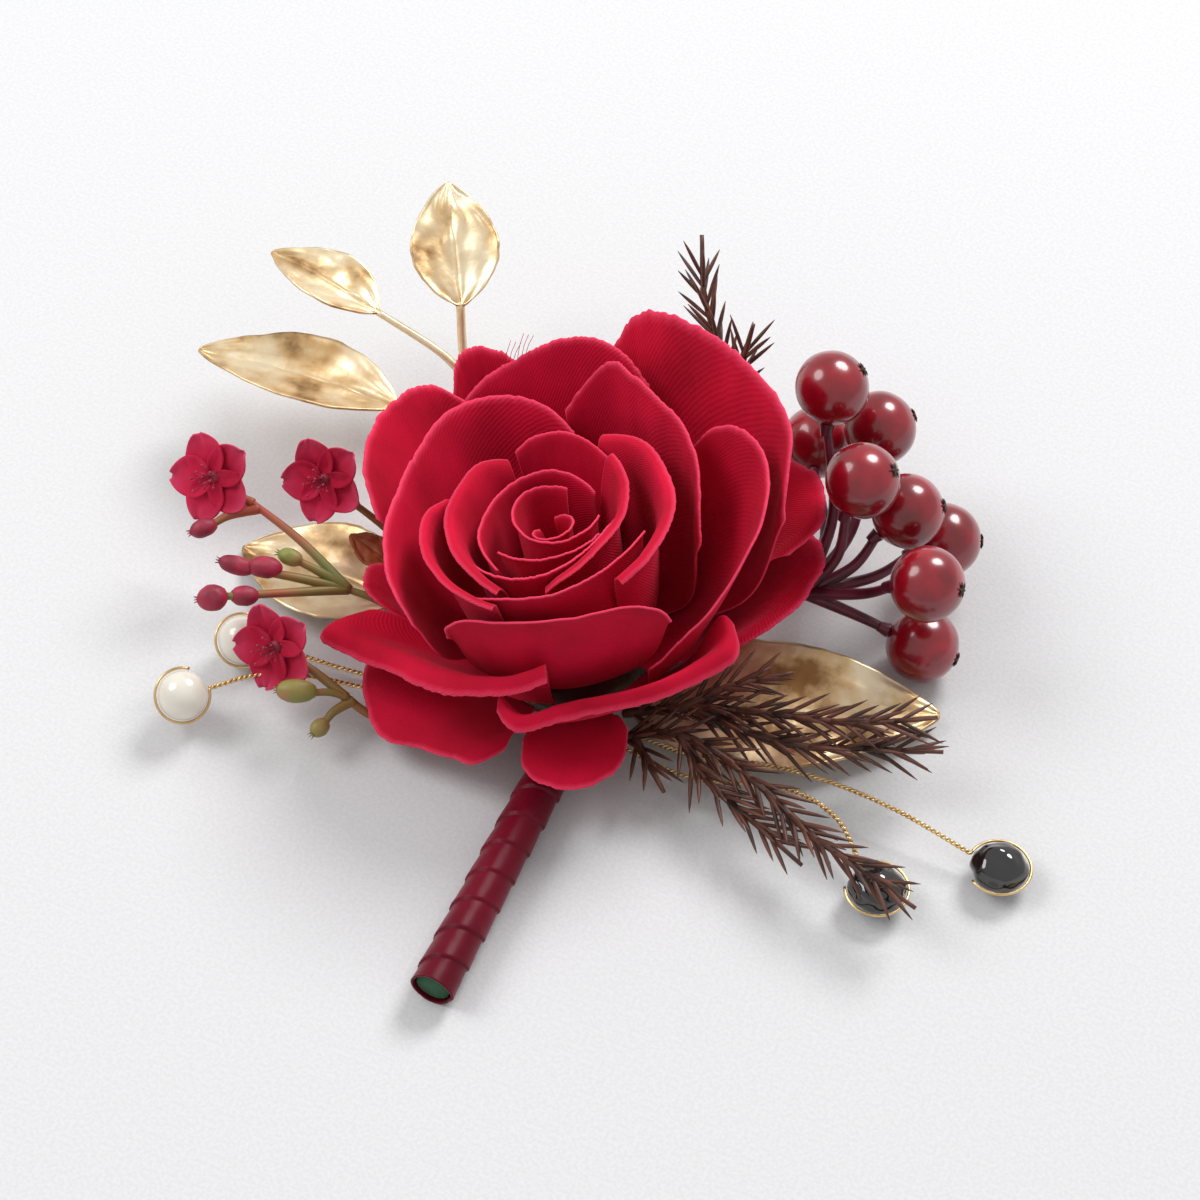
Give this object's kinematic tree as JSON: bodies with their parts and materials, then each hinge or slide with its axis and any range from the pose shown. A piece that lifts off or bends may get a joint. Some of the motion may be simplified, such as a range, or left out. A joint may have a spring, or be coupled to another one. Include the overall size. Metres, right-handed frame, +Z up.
{
  "type": "boutonniere",
  "caption": "Boutonniere with a fabric rose, gilded leaves, berries, needle sprigs, pearls and beads on wires, on a ribbon-wrapped stem.",
  "frame": {"origin": "centre of the bounding box's bottom face, on the table it lies on", "axes": "-Y along the ribbon-wrapped stem towards its cut end, +Z up out of the rose's face"},
  "size_m": [0.1364, 0.1114, 0.0395],
  "materials": {
    "rose_fabric": "matte woven crimson fabric, brushed soft",
    "calyx_green": "matte",
    "floral_tape": "matte waxed paper tape",
    "satin_ribbon": "burgundy satin",
    "gilded_leaf": "champagne gold foil paint, semi-gloss",
    "berry_red": "lacquered, glossy",
    "berry_stem": "glossy dark plum",
    "needle_brown": "satin dark brown",
    "blossom_red": "matte",
    "spray_stem": "satin reddish brown",
    "brown_leaf": "matte",
    "pearl_white": "pearlescent, glossy",
    "gold_wire": "polished",
    "black_bead": "mirror-glossy black"
  },
  "bodies": {
    "root": {"bud_petal_1": "rose_fabric", "bud_petal_2": "rose_fabric", "bud_petal_4": "rose_fabric", "bud_petal_5": "rose_fabric", "bud_petal_6": "rose_fabric", "bud_petal_7": "rose_fabric", "bud_petal_8": "rose_fabric", "bud_petal_9": "rose_fabric", "front_petal": "rose_fabric", "left_petal": "rose_fabric", "right_petal": "rose_fabric", "back_petal": "rose_fabric", "right_front_petal": "rose_fabric", "tall_petal": "rose_fabric", "left_outer_petal": "rose_fabric", "back_left_petal": "rose_fabric", "right_upper_petal": "rose_fabric", "right_lower_petal": "rose_fabric", "left_lower_petal": "rose_fabric", "front_left_petal": "rose_fabric", "front_right_petal": "rose_fabric", "under_left_petal": "rose_fabric", "under_front_petal": "rose_fabric", "rose_receptacle": "calyx_green", "ribbon_wrap": "satin_ribbon", "stem_core": "floral_tape", "taped_joint": "floral_tape", "gold_leaf_left": "gilded_leaf", "gold_leaf_middle": "gilded_leaf", "gold_leaf_top": "gilded_leaf", "gold_leaf_low_left": "gilded_leaf", "gold_leaf_right": "gilded_leaf", "brown_leaf_left": "brown_leaf", "gold_sprig_stem": "gilded_leaf", "berry_stems": "berry_stem", "needle_sprig_top": "needle_brown", "needle_sprig_right": "needle_brown", "needle_sprig_front": "needle_brown", "blossom_spray_left": "spray_stem", "blossom_spray_back": "spray_stem", "blossom_spray_front": "spray_stem", "blossom_left": "blossom_red", "blossom_back": "blossom_red", "blossom_front": "blossom_red", "pearl_1": "pearl_white", "pearl_2": "pearl_white", "bead_1": "black_bead", "bead_2": "black_bead", "pearl_wire_1": "gold_wire", "pearl_wire_2": "gold_wire", "bead_wire_1": "gold_wire", "bead_wire_2": "gold_wire", "berry_1": "berry_red", "berry_2": "berry_red", "berry_3": "berry_red", "berry_4": "berry_red", "berry_5": "berry_red", "berry_6": "berry_red", "berry_7": "berry_red", "berry_8": "berry_red"}
  },
  "joints": []
}
